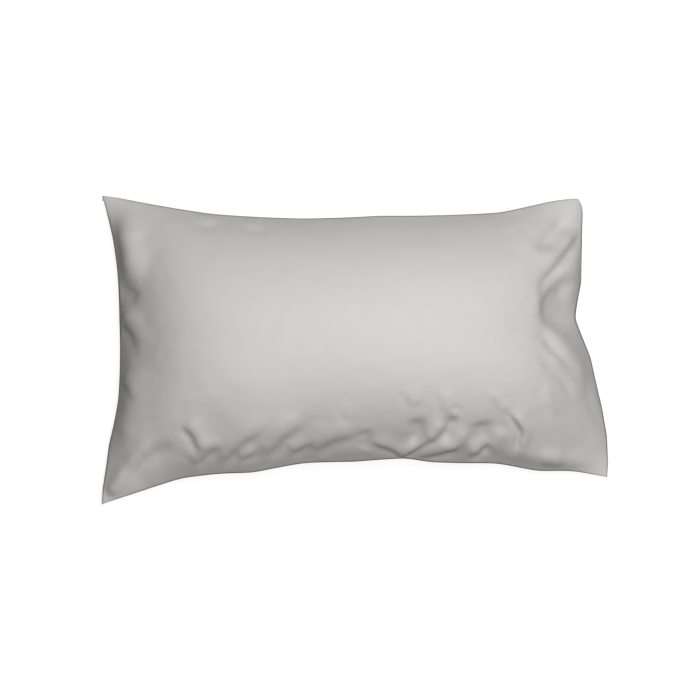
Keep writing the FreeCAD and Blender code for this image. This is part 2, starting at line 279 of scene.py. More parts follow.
def with_modifiers_applied(obj):
    """Bakes the object's modifiers into its mesh."""
    evaluated = obj.evaluated_get(bpy.context.evaluated_depsgraph_get())
    mesh = bpy.data.meshes.new_from_object(evaluated)
    obj.modifiers.clear()
    old, obj.data = obj.data, mesh
    bpy.data.meshes.remove(old)
    mesh.name = obj.name
    return obj


def cloth_object(name, grid, material, flat, thickness=0.0005, flip=False, inward=True):
    """A cloth over a grid of points, closed to so much thickness. flat is the cloth's own size, for its weave."""
    rows, columns = grid.shape[:2]
    u, v = np.meshgrid(np.linspace(0, flat[0], rows), np.linspace(0, flat[1], columns), indexing="ij")
    uv = np.stack([u, v], axis=-1).reshape(-1, 2)
    obj = new_object(name, grid.reshape(-1, 3), grid_faces(rows, columns, flip=flip), material, uv)
    solid = obj.modifiers.new("thickness", "SOLIDIFY")
    solid.thickness = thickness
    solid.offset = -1.0 if inward else 1.0
    solid.use_even_offset = False
    return with_modifiers_applied(obj)


def tube(name, path, radius, material, closed=False, sides=8):
    """A round cord along a path of points."""
    curve = bpy.data.curves.new(name, "CURVE")
    curve.dimensions = "3D"
    curve.bevel_depth = radius
    curve.bevel_resolution = sides // 4
    curve.use_fill_caps = not closed
    spline = curve.splines.new("POLY")
    spline.points.add(len(path) - 1)
    spline.points.foreach_set("co", np.column_stack([path, np.ones(len(path))]).ravel())
    spline.use_cyclic_u = closed
    holder = bpy.data.objects.new(name, curve)
    bpy.context.scene.collection.objects.link(holder)
    mesh = bpy.data.meshes.new_from_object(holder.evaluated_get(bpy.context.evaluated_depsgraph_get()))
    bpy.data.objects.remove(holder)
    mesh.polygons.foreach_set("use_smooth", [True] * len(mesh.polygons))
    mesh.materials.clear()
    mesh.materials.append(material)
    obj = bpy.data.objects.new(name, mesh)
    bpy.context.scene.collection.objects.link(obj)
    return obj


# ---------------------------------------------------------------- folds


def drawn_through(points, per_span=8):
    """A rounded line through a few points."""
    p = np.asarray(points, float)
    p = np.vstack([2 * p[0] - p[1], p, 2 * p[-1] - p[-2]])
    out = []
    for k in range(1, len(p) - 2):
        t = np.linspace(0, 1, per_span, endpoint=False)[:, None]
        a, b, c, d = p[k - 1], p[k], p[k + 1], p[k + 2]
        out.append(0.5 * (2 * b + (c - a) * t + (2 * a - 5 * b + 4 * c - d) * t**2 + (3 * b - a - 3 * c + d) * t**3))
    return np.vstack([*out, p[-2:-1]])


def along_line(x, y, points):
    """Signed distance to a line (positive to its left) and share along it, for points of the plan."""
    line = drawn_through(points)
    best = np.full(x.shape, np.inf)
    signed, share = np.zeros(x.shape), np.zeros(x.shape)
    runs = np.linalg.norm(np.diff(line, axis=0), axis=1)
    total, done = runs.sum(), 0.0
    for k, run in enumerate(runs):
        step = (line[k + 1] - line[k]) / run
        dx, dy = x - line[k, 0], y - line[k, 1]
        t = np.clip(dx * step[0] + dy * step[1], 0, run)
        ex, ey = dx - t * step[0], dy - t * step[1]
        distance = np.hypot(ex, ey)
        near = distance < best
        best = np.where(near, distance, best)
        signed = np.where(near, np.sign(step[0] * dy - step[1] * dx) * distance, signed)
        share = np.where(near, (done + t) / total, share)
        done += run
    return signed, share


def fold(x, y, kind, height, width, points, fade=(0.35, 0.35)):
    """Height that one fold adds, in metres. Its sizes and points are in millimetres.

    A ridge stands up (or is a groove if height is negative). A step falls from its left side to its right. A crease
    is a narrow groove with a soft ridge on its left.
    """
    signed, share = along_line(x, y, np.asarray(points, float) * MM)
    d = signed / (width * MM)
    ends = smooth_step(share / max(fade[0], 1e-6)) * smooth_step((1 - share) / max(fade[1], 1e-6))
    if kind == "ridge":
        shape = np.exp(-0.5 * d * d)
    elif kind == "step":
        shape = d * np.exp(0.5 - 0.5 * d * d)
    else:
        shape = 0.8 * np.exp(-0.5 * ((d - 1.7) / 1.4) ** 2) - 0.8 * np.exp(-0.5 * (d / 0.7) ** 2)
    return height * MM * shape * ends


# Each fold: kind, height, width, and the points of its line on the plan, in millimetres.
FRONT_FOLDS = (
    # The far corner of the mouth: two slanting valleys with a ridge between them, running out into a hollow.
    ("ridge", -7.0, 10, ((330, 212), (299, 174), (266, 142))),
    ("ridge", 4.5, 9, ((332, 186), (304, 152), (272, 124))),
    ("crease", 5.0, 8, ((342, 172), (327, 154), (304, 124), (281, 98), (276, 70)), (0.15, 0.4)),
    ("ridge", -9.0, 17, ((312, 124), (305, 70), (304, 12)), (0.25, 0.35)),
    ("step", 2.2, 10, ((286, 20), (278, 62), (288, 104)), (0.5, 0.5)),
    ("ridge", 4.0, 8, ((333, 136), (329, 96), (324, 58))),
    ("crease", 1.4, 5, ((306, 88), (318, 70), (324, 56))),
    # The mouth's end of the front: slanting grooves from the kink.
    ("crease", 4.6, 8, ((256, 36), (281, 18), (296, -1), (315, -24), (338, -62))),
    ("crease", 4.2, 8, ((268, -2), (284, -20), (307, -42), (332, -78))),
    ("crease", 2.0, 7, ((264, -50), (277, -78), (289, -108))),
    ("crease", 1.8, 7, ((344, -40), (353, -81), (372, -116))),
    # The near corner of the mouth.
    ("crease", 4.6, 4.6, ((222, -90), (236, -108), (244, -123), (242, -138), (236, -158))),
    ("ridge", 3.0, 9, ((206, -148), (250, -155), (300, -163), (368, -176)), (0.3, 0.3)),
    ("ridge", 1.6, 5, ((198, -54), (216, -80), (232, -94))),
    ("ridge", 3.0, 9, ((270, -158), (318, -160))),
    # The fan over the kink in the near side.
    ("crease", 5.0, 4.6, ((66, -168), (96, -148), (129, -127)), (0.15, 0.5)),
    ("crease", 4.4, 6, ((84, -168), (116, -161), (143, -153), (163, -139))),
    ("crease", 3.4, 5, ((20, -140), (57, -154), (76, -163))),
    ("ridge", -5.2, 8, ((88, -98), (93, -122), (84, -148))),
    ("ridge", 3.6, 7, ((104, -134), (120, -118), (134, -104))),
    ("ridge", -4.6, 6, ((151, -94), (138, -120), (130, -143))),
    ("crease", 1.8, 5, ((158, -104), (150, -86), (136, -88))),
    ("ridge", 3.8, 8, ((168, -112), (154, -134), (134, -150))),
    ("ridge", -4.6, 12, ((186, -102), (188, -126), (172, -146))),
    ("crease", 4.4, 6, ((168, -166), (186, -156), (206, -138))),
    ("ridge", 3.2, 9, ((220, -112), (210, -136), (196, -152))),
    ("crease", 1.6, 7, ((66, -58), (80, -90))),
    ("crease", 1.6, 7, ((118, -60), (128, -100))),
    # The near side left of the kink: lobes that fall away to the right.
    ("crease", 3.6, 7, ((-236, -178), (-214, -156), (-192, -142), (-182, -128)), (0.2, 0.6)),
    ("crease", 4.2, 9, ((-196, -176), (-168, -148), (-136, -124), (-112, -96)), (0.2, 0.6)),
    ("crease", 3.0, 6, ((-170, -170), (-150, -158), (-134, -152)), (0.3, 0.6)),
    ("crease", 4.0, 10, ((-128, -166), (-104, -138), (-76, -116), (-58, -88)), (0.2, 0.6)),
    ("crease", 2.6, 6, ((-96, -160), (-70, -146), (-52, -140)), (0.3, 0.6)),
    ("crease", 3.4, 9, ((-60, -160), (-34, -142), (-2, -130), (18, -108)), (0.2, 0.6)),
    ("ridge", -2.6, 8, ((10, -118), (16, -134), (12, -150))),
    # The near corner of the closed end.
    ("ridge", 6.5, 9, ((-372, -222), (-336, -176), (-306, -142), (-282, -132)), (0.15, 0.5)),
    ("ridge", -5.0, 9, ((-350, -208), (-318, -170), (-288, -152), (-262, -146))),
    ("crease", 4.0, 7, ((-262, -112), (-244, -130), (-232, -158))),
    # The closed end.
    ("ridge", 9.0, 13, ((-352, 214), (-338, 172), (-331, 128), (-336, 82)), (0.4, 0.4)),
    ("ridge", 4.0, 13, ((-334, 20), (-330, -40), (-338, -110), (-350, -170))),
    ("ridge", -3.6, 9, ((-358, 106), (-340, 84), (-318, 74))),
    ("ridge", 4.0, 10, ((-354, 66), (-336, 50), (-306, 44)), (0.2, 0.6)),
    ("crease", 3.6, 8, ((-358, 40), (-338, 22), (-322, -14)), (0.2, 0.6)),
    ("crease", 2.2, 8, ((-356, -50), (-336, -66), (-322, -92)), (0.2, 0.6)),
    # Under the far side.
    ("crease", 1.8, 7, ((-246, 196), (-218, 184), (-196, 190))),
    ("crease", 1.4, 7, ((-176, 190), (-150, 176), (-128, 182))),
)


def puckers(places, depth, reach, seed):
    """How far the sewn edges pull the cloth in and out: uneven along each edge, and gone a little way inside."""
    u, v = places
    out = np.zeros(u.shape)
    along_case, across_case = (1 + u) * CASE_LONG / 2, (1 + v) * CASE_WIDE / 2
    edges = (
        (CASE_WIDE - across_case, along_case, CASE_LONG),
        (across_case, along_case, CASE_LONG),
        (along_case, across_case, CASE_WIDE),
    )
    for k, (distance, along, length) in enumerate(edges):
        fine = uneven(length, 0.016, seed + k)(along)
        coarse = uneven(length, 0.041, seed + 9 + k)(along)
        patchy = 0.55 + 0.45 * uneven(length, 0.11, seed + 18 + k)(along)
        lift = fine * np.exp(-distance / (reach * 0.6)) + 0.8 * coarse * np.exp(-distance / (reach * 1.5))
        out += lift * patchy * (1 - np.exp(-distance / 0.003))
    return out * depth


# ---------------------------------------------------------------- sewing and filling the case


def crown(u, v):
    """Share of the loft at a place: full in the middle and none at the seams."""
    return (1 - np.abs(u) ** 6) * (1 - np.abs(v) ** 2.5)


def sewn_case(props):
    """The case's front and back as grids of points, before their folds: cut flat, sewn to the seam line, blown up."""
    rows, columns = props.cells_along + 1, props.cells_across + 1
    plan = filled_plan(rows, columns)
    u, v = places_uv(rows, columns)
    seam = seam_z(plan[..., 0])
    front = np.dstack([plan, seam + CROWN_TOP * MM * crown(u, v)])
    back = np.dstack([plan, np.maximum(seam - CROWN_BOTTOM * MM * crown(u, v), 0.0)])
    flat = np.dstack([u * props.cut_length / 2, v * props.cut_width / 2, np.zeros(u.shape)])
    edge = np.zeros((rows, columns), bool)
    edge[0] = edge[-1] = True
    edge[:, 0] = edge[:, -1] = True
    inner = np.flatnonzero(~edge.ravel())
    count = rows * columns
    back_index = np.arange(count)
    back_index[inner] = count + np.arange(len(inner))
    points = np.vstack([front.reshape(-1, 3), back.reshape(-1, 3)[inner]])
    # A little unevenness to start from, so that the slack cloth has somewhere to buckle.
    rng = np.random.default_rng(props.seed)
    free = np.ones(len(points), bool)
    free[np.flatnonzero(edge.ravel())] = False
    points[free] += rng.normal(0, 0.0006, (free.sum(), 3))
    faces = np.vstack([grid_faces(rows, columns), back_index[grid_faces(rows, columns, flip=True)]])
    bag = new_object("bag", points, faces)
    bag.shape_key_add(name="sewn")
    cut = bag.shape_key_add(name="cut")
    rest = np.vstack([flat.reshape(-1, 3), flat.reshape(-1, 3)[inner]])
    cut.data.foreach_set("co", rest.ravel())
    cut.value = 0.0
    seam_group = bag.vertex_groups.new(name="seam")
    seam_group.add(np.flatnonzero(edge.ravel()).tolist(), 1.0, "REPLACE")
    cloth = bag.modifiers.new("cloth", "CLOTH")
    settings = cloth.settings
    settings.quality = 7
    settings.mass = 0.25
    settings.tension_stiffness = settings.compression_stiffness = 25
    settings.shear_stiffness = 8
    settings.bending_stiffness = props.stiffness
    settings.tension_damping = settings.compression_damping = settings.shear_damping = 8
    settings.bending_damping = 0.6
    settings.air_damping = 3
    settings.use_pressure = True
    settings.uniform_pressure_force = props.pressure
    settings.effector_weights.gravity = 0.0
    settings.vertex_group_mass = "seam"
    settings.pin_stiffness = 1.0
    settings.rest_shape_key = cut
    cloth.point_cache.frame_start, cloth.point_cache.frame_end = 1, props.frames
    scene = bpy.context.scene
    scene.frame_start, scene.frame_end = 1, props.frames
    for number in range(1, props.frames + 1):
        scene.frame_set(number)
    blown = bag.evaluated_get(bpy.context.evaluated_depsgraph_get()).to_mesh()
    co = np.empty(len(blown.vertices) * 3)
    blown.vertices.foreach_get("co", co)
    co = co.reshape(-1, 3)
    bpy.data.objects.remove(bag)
    scene.frame_set(1)
    return co[:count].reshape(rows, columns, 3), co[back_index].reshape(rows, columns, 3)


def settled(front, back, props):
    """Opens the mouth by its slack, eases the smooth parts, sets the case on the floor and adds the front's folds."""
    rows, columns = front.shape[:2]
    u, v = places_uv(rows, columns)
    # The middle and the far side are the smooth parts; the ends and the near side keep what the cloth did.
    calm = smooth_step((0.80 - np.abs(u + 0.04)) / 0.22) * smooth_step((v + 0.62) / 0.3)
    front = eased(front, props.easing, 0.5 + 0.5 * calm)
    back = eased(back, props.easing)
    slack = ((1 + u) / 2) ** 9 * (1 - v * v)
    front[..., 2] += 2.5 * MM * slack
    back[..., 2] -= 1.5 * MM * slack
    front, back = doubled(front), doubled(back)
    u, v = places_uv(*front.shape[:2])
    soft = 4.0 * MM
    back[..., 2] = soft * np.logaddexp(0, (back[..., 2] - 1.2 * MM) / soft) + FLOOR_REST
    x, y = front[..., 0].copy(), front[..., 1].copy()
    lift = props.fold_depth * sum(fold(x, y, *each) for each in FRONT_FOLDS)
    lift = lift + puckers((u, v), props.pucker * MM, 0.022, props.seed + 40)
    for height, spacing, number in ((0.9, 0.13, 61), (0.5, 0.055, 60), (0.22, 0.019, 62)):
        lift = lift + height * MM * uneven_field(x, y, spacing, props.seed + number)
    edge = 1 - np.maximum(np.abs(u) ** 40, np.abs(v) ** 30)
    front = front + normals_of(front) * (lift * edge)[..., None]
    dip = puckers((u, v), props.pucker * MM, 0.022, props.seed + 80)
    back = back - normals_of(back) * (dip * edge)[..., None]
    back[..., 2] = np.maximum(back[..., 2], FLOOR_REST)
    return front, back


# ---------------------------------------------------------------- materials


def node_material(name, rough, sheen=0.0):
    """A new material and its shader, with the values that are the same all over set on the shader itself."""
    material = bpy.data.materials.new(name)
    material.use_nodes = True
    shader = material.node_tree.nodes["Principled BSDF"]
    shader.inputs["Roughness"].default_value = rough
    shader.inputs["Sheen Weight"].default_value = sheen
    shader.inputs["Specular IOR Level"].default_value = 0.35
    return material, shader


def add(tree, kind, values=None, **settings):
    """A new node, with its settings and the values of its inputs."""
    node = tree.nodes.new(kind)
    for key, value in settings.items():
        setattr(node, key, value)
    for key, value in (values or {}).items():
        node.inputs[key].default_value = value
    return node


def woven(name, colour, threads, rough, sheen, depth, mottle=0.03, twill=0.0):
    """Plain-woven or twilled cloth. threads is how many a metre; the weave follows the cloth's own UV map."""
    material, shader = node_material(name, rough, sheen)
    tree = material.node_tree
    link = tree.links.new
    cloth = add(tree, "ShaderNodeUVMap", uv_map="cloth")
    split = add(tree, "ShaderNodeSeparateXYZ")
    link(cloth.outputs["UV"], split.inputs["Vector"])
    waves = []
    for axis in ("X", "Y"):
        scaled = add(tree, "ShaderNodeMath", {1: threads * math.tau / 2}, operation="MULTIPLY")
        link(split.outputs[axis], scaled.inputs[0])
        other = add(tree, "ShaderNodeMath", {1: threads * math.tau * twill}, operation="MULTIPLY")
        link(split.outputs["Y" if axis == "X" else "X"], other.inputs[0])
        turned = add(tree, "ShaderNodeMath", operation="ADD")
        link(scaled.outputs[0], turned.inputs[0])
        link(other.outputs[0], turned.inputs[1])
        wave = add(tree, "ShaderNodeMath", operation="SINE")
        link(turned.outputs[0], wave.inputs[0])
        waves.append(wave)
    weave = add(tree, "ShaderNodeMath", operation="MULTIPLY")
    link(waves[0].outputs[0], weave.inputs[0])
    link(waves[1].outputs[0], weave.inputs[1])
    place = add(tree, "ShaderNodeTexCoord")
    slub = add(tree, "ShaderNodeTexNoise", {"Scale": 420.0, "Detail": 3.0, "Roughness": 0.6})
    cloud = add(tree, "ShaderNodeTexNoise", {"Scale": 7.0, "Detail": 4.0, "Roughness": 0.55})
    stretch = add(tree, "ShaderNodeMapping", {"Scale": (1.0, 0.25, 1.0)})
    link(place.outputs["Object"], stretch.inputs["Vector"])
    link(stretch.outputs["Vector"], slub.inputs["Vector"])
    link(place.outputs["Object"], cloud.inputs["Vector"])
    mixed = add(tree, "ShaderNodeMix", data_type="RGBA", blend_type="MULTIPLY")
    mixed.inputs[0].default_value = 1.0
    ramp = add(tree, "ShaderNodeValToRGB")
    ramp.color_ramp.elements[0].position, ramp.color_ramp.elements[1].position = 0.3, 0.7
    low = 1.0 - mottle
    ramp.color_ramp.elements[0].color = (low, low, low * 0.995, 1)
    ramp.color_ramp.elements[1].color = (1, 1, 1, 1)
    link(cloud.outputs["Fac"], ramp.inputs["Fac"])
    link(ramp.outputs["Color"], mixed.inputs["B"])
    yarn = add(tree, "ShaderNodeValToRGB")
    yarn.color_ramp.elements[0].position, yarn.color_ramp.elements[1].position = 0.35, 0.65
    yarn.color_ramp.elements[0].color = (*[c * (1 - mottle * 0.8) for c in colour], 1)
    yarn.color_ramp.elements[1].color = (*colour, 1)
    link(slub.outputs["Fac"], yarn.inputs["Fac"])
    link(yarn.outputs["Color"], mixed.inputs["A"])
    link(mixed.outputs["Result"], shader.inputs["Base Color"])
    height = add(tree, "ShaderNodeMath", {1: 0.35}, operation="MULTIPLY_ADD")
    link(slub.outputs["Fac"], height.inputs[0])
    link(weave.outputs[0], height.inputs[2])
    bump = add(tree, "ShaderNodeBump", {"Strength": depth, "Distance": 0.0002})
    link(height.outputs[0], bump.inputs["Height"])
    link(bump.outputs["Normal"], shader.inputs["Normal"])
    return material


def thread_finish(name, colour):
    """Twisted sewing thread."""
    material, shader = node_material(name, 0.6, 0.3)
    tree = material.node_tree
    place = add(tree, "ShaderNodeTexCoord")
    twist = add(tree, "ShaderNodeTexWave", {"Scale": 900.0, "Distortion": 1.0}, bands_direction="DIAGONAL")
    tree.links.new(place.outputs["Object"], twist.inputs["Vector"])
    tone = add(tree, "ShaderNodeValToRGB")
    tone.color_ramp.elements[0].color = (*[c * 0.82 for c in colour], 1)
    tone.color_ramp.elements[1].color = (*colour, 1)
    tree.links.new(twist.outputs["Fac"], tone.inputs["Fac"])
    tree.links.new(tone.outputs["Color"], shader.inputs["Base Color"])
    bump = add(tree, "ShaderNodeBump", {"Strength": 0.4, "Distance": 0.0002})
    tree.links.new(twist.outputs["Fac"], bump.inputs["Height"])
    tree.links.new(bump.outputs["Normal"], shader.inputs["Normal"])
    return material


def wadding_finish(name, colour):
    """Blown polyester fibre: pale, matt and tangled."""
    material, shader = node_material(name, 0.95, 0.6)
    tree = material.node_tree
    place = add(tree, "ShaderNodeTexCoord")
    tangle = add(tree, "ShaderNodeTexNoise", {"Scale": 55.0, "Detail": 8.0, "Roughness": 0.7, "Distortion": 2.5})
    tree.links.new(place.outputs["Object"], tangle.inputs["Vector"])
    tone = add(tree, "ShaderNodeValToRGB")
    tone.color_ramp.elements[0].color = (*[c * 0.86 for c in colour], 1)
    tone.color_ramp.elements[1].color = (*colour, 1)
    tree.links.new(tangle.outputs["Fac"], tone.inputs["Fac"])
    tree.links.new(tone.outputs["Color"], shader.inputs["Base Color"])
    bump = add(tree, "ShaderNodeBump", {"Strength": 0.8, "Distance": 0.002})
    tree.links.new(tangle.outputs["Fac"], bump.inputs["Height"])
    tree.links.new(bump.outputs["Normal"], shader.inputs["Normal"])
    return material


def floor_finish(name, brightness, glow):
    """A pale sweep that gives back most of the light."""
    material, shader = node_material(name, 1.0)
    tree = material.node_tree
    place = add(tree, "ShaderNodeTexCoord")
    cloud = add(tree, "ShaderNodeTexNoise", {"Scale": 1.5, "Detail": 2.0})
    tree.links.new(place.outputs["Object"], cloud.inputs["Vector"])
    tone = add(tree, "ShaderNodeValToRGB")
    tone.color_ramp.elements[0].color = (*[brightness * 0.99] * 3, 1)
    tone.color_ramp.elements[1].color = (*[brightness] * 3, 1)
    tree.links.new(cloud.outputs["Fac"], tone.inputs["Fac"])
    tree.links.new(tone.outputs["Color"], shader.inputs["Base Color"])
    shader.inputs["Specular IOR Level"].default_value = 0.0
    shader.inputs["Emission Color"].default_value = (1, 1, 1, 1)
    shader.inputs["Emission Strength"].default_value = glow
    return material


def finish_of(kind):
    """One of the pillow's finishes, made the first time that a piece asks for it."""
    if kind not in work:
        props = bpy.context.scene.pillow_case
        makers = {
            "case_cotton": lambda: woven("case_cotton", tuple(props.colour), 3200.0, 0.62, 0.12, 0.26, 0.02),
            "ticking_cotton": lambda: woven("ticking_cotton", TICKING, 1500.0, 0.8, 0.1, 0.5, 0.02, 0.5),
            "sewing_thread": lambda: thread_finish("sewing_thread", THREAD),
            "fibre_wadding": lambda: wadding_finish("fibre_wadding", WADDING),
            "label_satin": lambda: woven("label_satin", SATIN, 2600.0, 0.35, 0.0, 0.3, 0.02),
        }
        work[kind] = makers[kind]()
    return work[kind]


def placed(obj, body, slot, *nodes):
    """Finishes a piece: sets what it rides on and hides the node it stands for. slot is not used."""
    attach(obj, body)
    if nodes:
        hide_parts(*nodes)
    return obj


def limp(obj):
    """Gives a piece of the case its own copy of its mesh."""
    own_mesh(obj)
    return obj


def edge_frames(path, closed=False):
    """Unit steps along a path, and level directions to its left."""
    if closed:
        along = np.roll(path, -1, axis=0) - np.roll(path, 1, axis=0)
    else:
        along = np.gradient(path, axis=0)
    along = along / np.linalg.norm(along, axis=1, keepdims=True)
    left = np.cross((0, 0, 1.0), along)
    return along, left / np.linalg.norm(left, axis=1, keepdims=True)


def strip(name, rails, material, flat_length):
    """A closed strip of an even cross-section: rails are its long edges in turn, as paths of points."""
    rails = np.asarray(rails)
    sides, count = rails.shape[:2]
    points = rails.transpose(1, 0, 2).reshape(-1, 3)
    faces = []
    for k in range(count - 1):
        for r in range(sides):
            a, b = k * sides + r, k * sides + (r + 1) % sides
            faces.append([a, b, b + sides, a + sides])
    faces.append(list(range(sides))[::-1])
    faces.append([(count - 1) * sides + r for r in range(sides)])
    mesh = bpy.data.meshes.new(name)
    mesh.from_pydata([tuple(p) for p in points.tolist()], [], faces)
    mesh.polygons.foreach_set("use_smooth", [True] * len(mesh.polygons))
    layer = mesh.uv_layers.new(name="cloth")
    loops = np.empty(len(mesh.loops), np.int32)
    mesh.loops.foreach_get("vertex_index", loops)
    along, around = np.repeat(np.linspace(0, flat_length, count), sides), np.tile(np.arange(sides) * 0.004, count)
    uv = np.column_stack([along, around])
    layer.data.foreach_set("uv", uv.astype(np.float32)[loops].ravel())
    mesh.materials.append(material)
    mesh.update()
    return turned_out(bpy.data.objects.new(name, mesh))


def turned_out(obj):
    """Makes a closed mesh's faces point outwards."""
    if not obj.users_collection:
        bpy.context.scene.collection.objects.link(obj)
    shape = bmesh.new()
    shape.from_mesh(obj.data)
    bmesh.ops.recalc_face_normals(shape, faces=shape.faces)
    shape.to_mesh(obj.data)
    shape.free()
    return obj


# ---------------------------------------------------------------- rows of stitches


def stitch_tree(material):
    """Geometry nodes that set one stitch after another along the edges of a line of points."""
    tree = bpy.data.node_groups.new("stitch_row", "GeometryNodeTree")
    face = tree.interface
    face.new_socket("Geometry", in_out="INPUT", socket_type="NodeSocketGeometry")
    for label, value in (("Stitch length", 0.0026), ("Gap", 0.0006), ("Thread radius", 0.00028)):
        socket = face.new_socket(label, in_out="INPUT", socket_type="NodeSocketFloat")
        socket.default_value = value
        socket.subtype = "DISTANCE"
    face.new_socket("Geometry", in_out="OUTPUT", socket_type="NodeSocketGeometry")
    link = tree.links.new
    inlet, outlet = add(tree, "NodeGroupInput"), add(tree, "NodeGroupOutput")
    to_curve = add(tree, "GeometryNodeMeshToCurve")
    pitch = add(tree, "ShaderNodeMath", operation="ADD")
    link(inlet.outputs["Stitch length"], pitch.inputs[0])
    link(inlet.outputs["Gap"], pitch.inputs[1])
    spaced = add(tree, "GeometryNodeResampleCurve", mode="LENGTH")
    link(inlet.outputs["Geometry"], to_curve.inputs["Mesh"])
    link(to_curve.outputs["Curve"], spaced.inputs["Curve"])
    link(pitch.outputs[0], spaced.inputs["Length"])
    tangent = add(tree, "GeometryNodeInputTangent")
    turn = add(tree, "FunctionNodeAlignRotationToVector", axis="Z")
    link(tangent.outputs["Tangent"], turn.inputs["Vector"])
    body = add(tree, "GeometryNodeMeshUVSphere", {"Segments": 6, "Rings": 5})
    link(inlet.outputs["Thread radius"], body.inputs["Radius"])
    ratio = add(tree, "ShaderNodeMath", operation="DIVIDE")
    link(inlet.outputs["Stitch length"], ratio.inputs[0])
    link(inlet.outputs["Thread radius"], ratio.inputs[1])
    half = add(tree, "ShaderNodeMath", {1: 0.5}, operation="MULTIPLY")
    link(ratio.outputs[0], half.inputs[0])
    size = add(tree, "ShaderNodeCombineXYZ", {"X": 1.0, "Y": 1.0})
    link(half.outputs[0], size.inputs["Z"])
    long = add(tree, "GeometryNodeTransform")
    link(body.outputs["Mesh"], long.inputs["Geometry"])
    link(size.outputs[0], long.inputs["Scale"])
    set_out = add(tree, "GeometryNodeInstanceOnPoints")
    link(spaced.outputs["Curve"], set_out.inputs["Points"])
    link(long.outputs["Geometry"], set_out.inputs["Instance"])
    link(turn.outputs["Rotation"], set_out.inputs["Rotation"])
    real = add(tree, "GeometryNodeRealizeInstances")
    link(set_out.outputs["Instances"], real.inputs["Geometry"])
    dressed = add(tree, "GeometryNodeSetMaterial")
    dressed.inputs["Material"].default_value = material
    link(real.outputs["Geometry"], dressed.inputs["Geometry"])
    link(dressed.outputs["Geometry"], outlet.inputs["Geometry"])
    return tree


def stitched(name, lines, stitch=0.0026, gap=0.0006, radius=0.00028):
    """Rows of stitches along lines of points, as one mesh."""
    if "stitch_tree" not in work:
        work["stitch_tree"] = stitch_tree(finish_of("sewing_thread"))
    tree = work["stitch_tree"]
    points = np.vstack(lines)
    edges, first = [], 0
    for line in lines:
        edges += [(first + k, first + k + 1) for k in range(len(line) - 1)]
        first += len(line)
    mesh = bpy.data.meshes.new(name)
    mesh.from_pydata([tuple(p) for p in points.tolist()], edges, [])
    obj = bpy.data.objects.new(name, mesh)
    bpy.context.scene.collection.objects.link(obj)
    nodes = obj.modifiers.new("stitches", "NODES")
    nodes.node_group = tree
    sizes = {"Stitch length": stitch, "Gap": gap, "Thread radius": radius}
    for item in tree.interface.items_tree:
        if item.in_out == "INPUT" and item.name in sizes:
            nodes[item.identifier] = sizes[item.name]
    obj = with_modifiers_applied(obj)
    obj.data.polygons.foreach_set("use_smooth", [True] * len(obj.data.polygons))
    return obj


# ---------------------------------------------------------------- sizes and colours that a user would change


class PillowCaseSizes(bpy.types.PropertyGroup):
    cut_length: bpy.props.FloatProperty(
        name="Cut length", description="Length of each panel between its seams", default=0.775, unit="LENGTH"
    )
    cut_width: bpy.props.FloatProperty(
        name="Cut width", description="Width of each panel between its seams", default=0.47, unit="LENGTH"
    )
    cells_along: bpy.props.IntProperty(name="Cells along", description="Cloth cells along the case", default=124)
    cells_across: bpy.props.IntProperty(name="Cells across", description="Cloth cells across the case", default=76)
    frames: bpy.props.IntProperty(name="Steps", description="Frames of cloth simulation", default=30)
    pressure: bpy.props.FloatProperty(name="Filling pressure", description="How hard the filling pushes", default=4.0)
    stiffness: bpy.props.FloatProperty(name="Stiffness", description="How the cloth resists creasing", default=0.4)
    easing: bpy.props.IntProperty(name="Easing", description="How much the calm parts are eased", default=6)
    fold_depth: bpy.props.FloatProperty(name="Fold depth", description="Scales the hand-set folds", default=1.25)
    pucker: bpy.props.FloatProperty(name="Pucker", description="Depth of the seams' puckers, mm", default=1.3)
    seed: bpy.props.IntProperty(name="Seed", description="Changes where the chance puckers fall", default=3)
    colour: bpy.props.FloatVectorProperty(
        name="Cotton", description="Colour of the case's cotton", subtype="COLOR", size=3, default=COTTON
    )


class PillowInsertSizes(bpy.types.PropertyGroup):
    clearance: bpy.props.FloatProperty(
        name="Clearance", description="Gap between the ticking and the case", default=0.0035, unit="LENGTH"
    )
    piping_radius: bpy.props.FloatProperty(
        name="Piping radius", description="Radius of the ticking's corded edge", default=0.0013, unit="LENGTH"
    )


class PillowStageSizes(bpy.types.PropertyGroup):
    camera_height: bpy.props.FloatProperty(
        name="Camera height", description="Height of the camera over the floor", default=6.0, unit="LENGTH"
    )
    view_width: bpy.props.FloatProperty(
        name="View width", description="Width that the camera takes in near the seams", default=1.045, unit="LENGTH"
    )
    camera_aside: bpy.props.FloatProperty(
        name="Camera aside", description="Where the camera stands along X", default=-0.00672, unit="LENGTH"
    )
    key_power: bpy.props.FloatProperty(name="Key light", description="Power of the main light", default=23.5)
    fill_power: bpy.props.FloatProperty(name="Fill light", description="Power of the overhead light", default=65.5)
    sky: bpy.props.FloatProperty(name="Sky", description="Strength of the light from all round", default=0.06)
    floor_tone: bpy.props.FloatProperty(name="Floor tone", description="Light that the sweep gives back", default=0.22)
    floor_glow: bpy.props.FloatProperty(name="Floor glow", description="Glow of the sweep itself", default=0.88)


# ---------------------------------------------------------------- operators


class PILLOW_OT_case_cloth(bpy.types.Operator):
    """Cut, sew and fill the case's cloth, and set its folds"""

    bl_idname = "pillow.case_cloth"
    bl_label = "Sew and fill the case"

    def execute(self, context):
        props = context.scene.pillow_case
        front, back = sewn_case(props)
        work["front"], work["back"] = settled(front, back, props)
        return {"FINISHED"}


class PILLOW_OT_front_panel(bpy.types.Operator):
    """Make the front panel from the sewn cloth"""

    bl_idname = "pillow.front_panel"
    bl_label = "Front panel"

    def execute(self, context):
        obj = cloth_object("front_panel", work["front"], finish_of("case_cotton"), PANEL_CUT[::-1])
        placed(obj, CASE, "case_cotton", "case_front_panel")
        limp(obj)
        return {"FINISHED"}


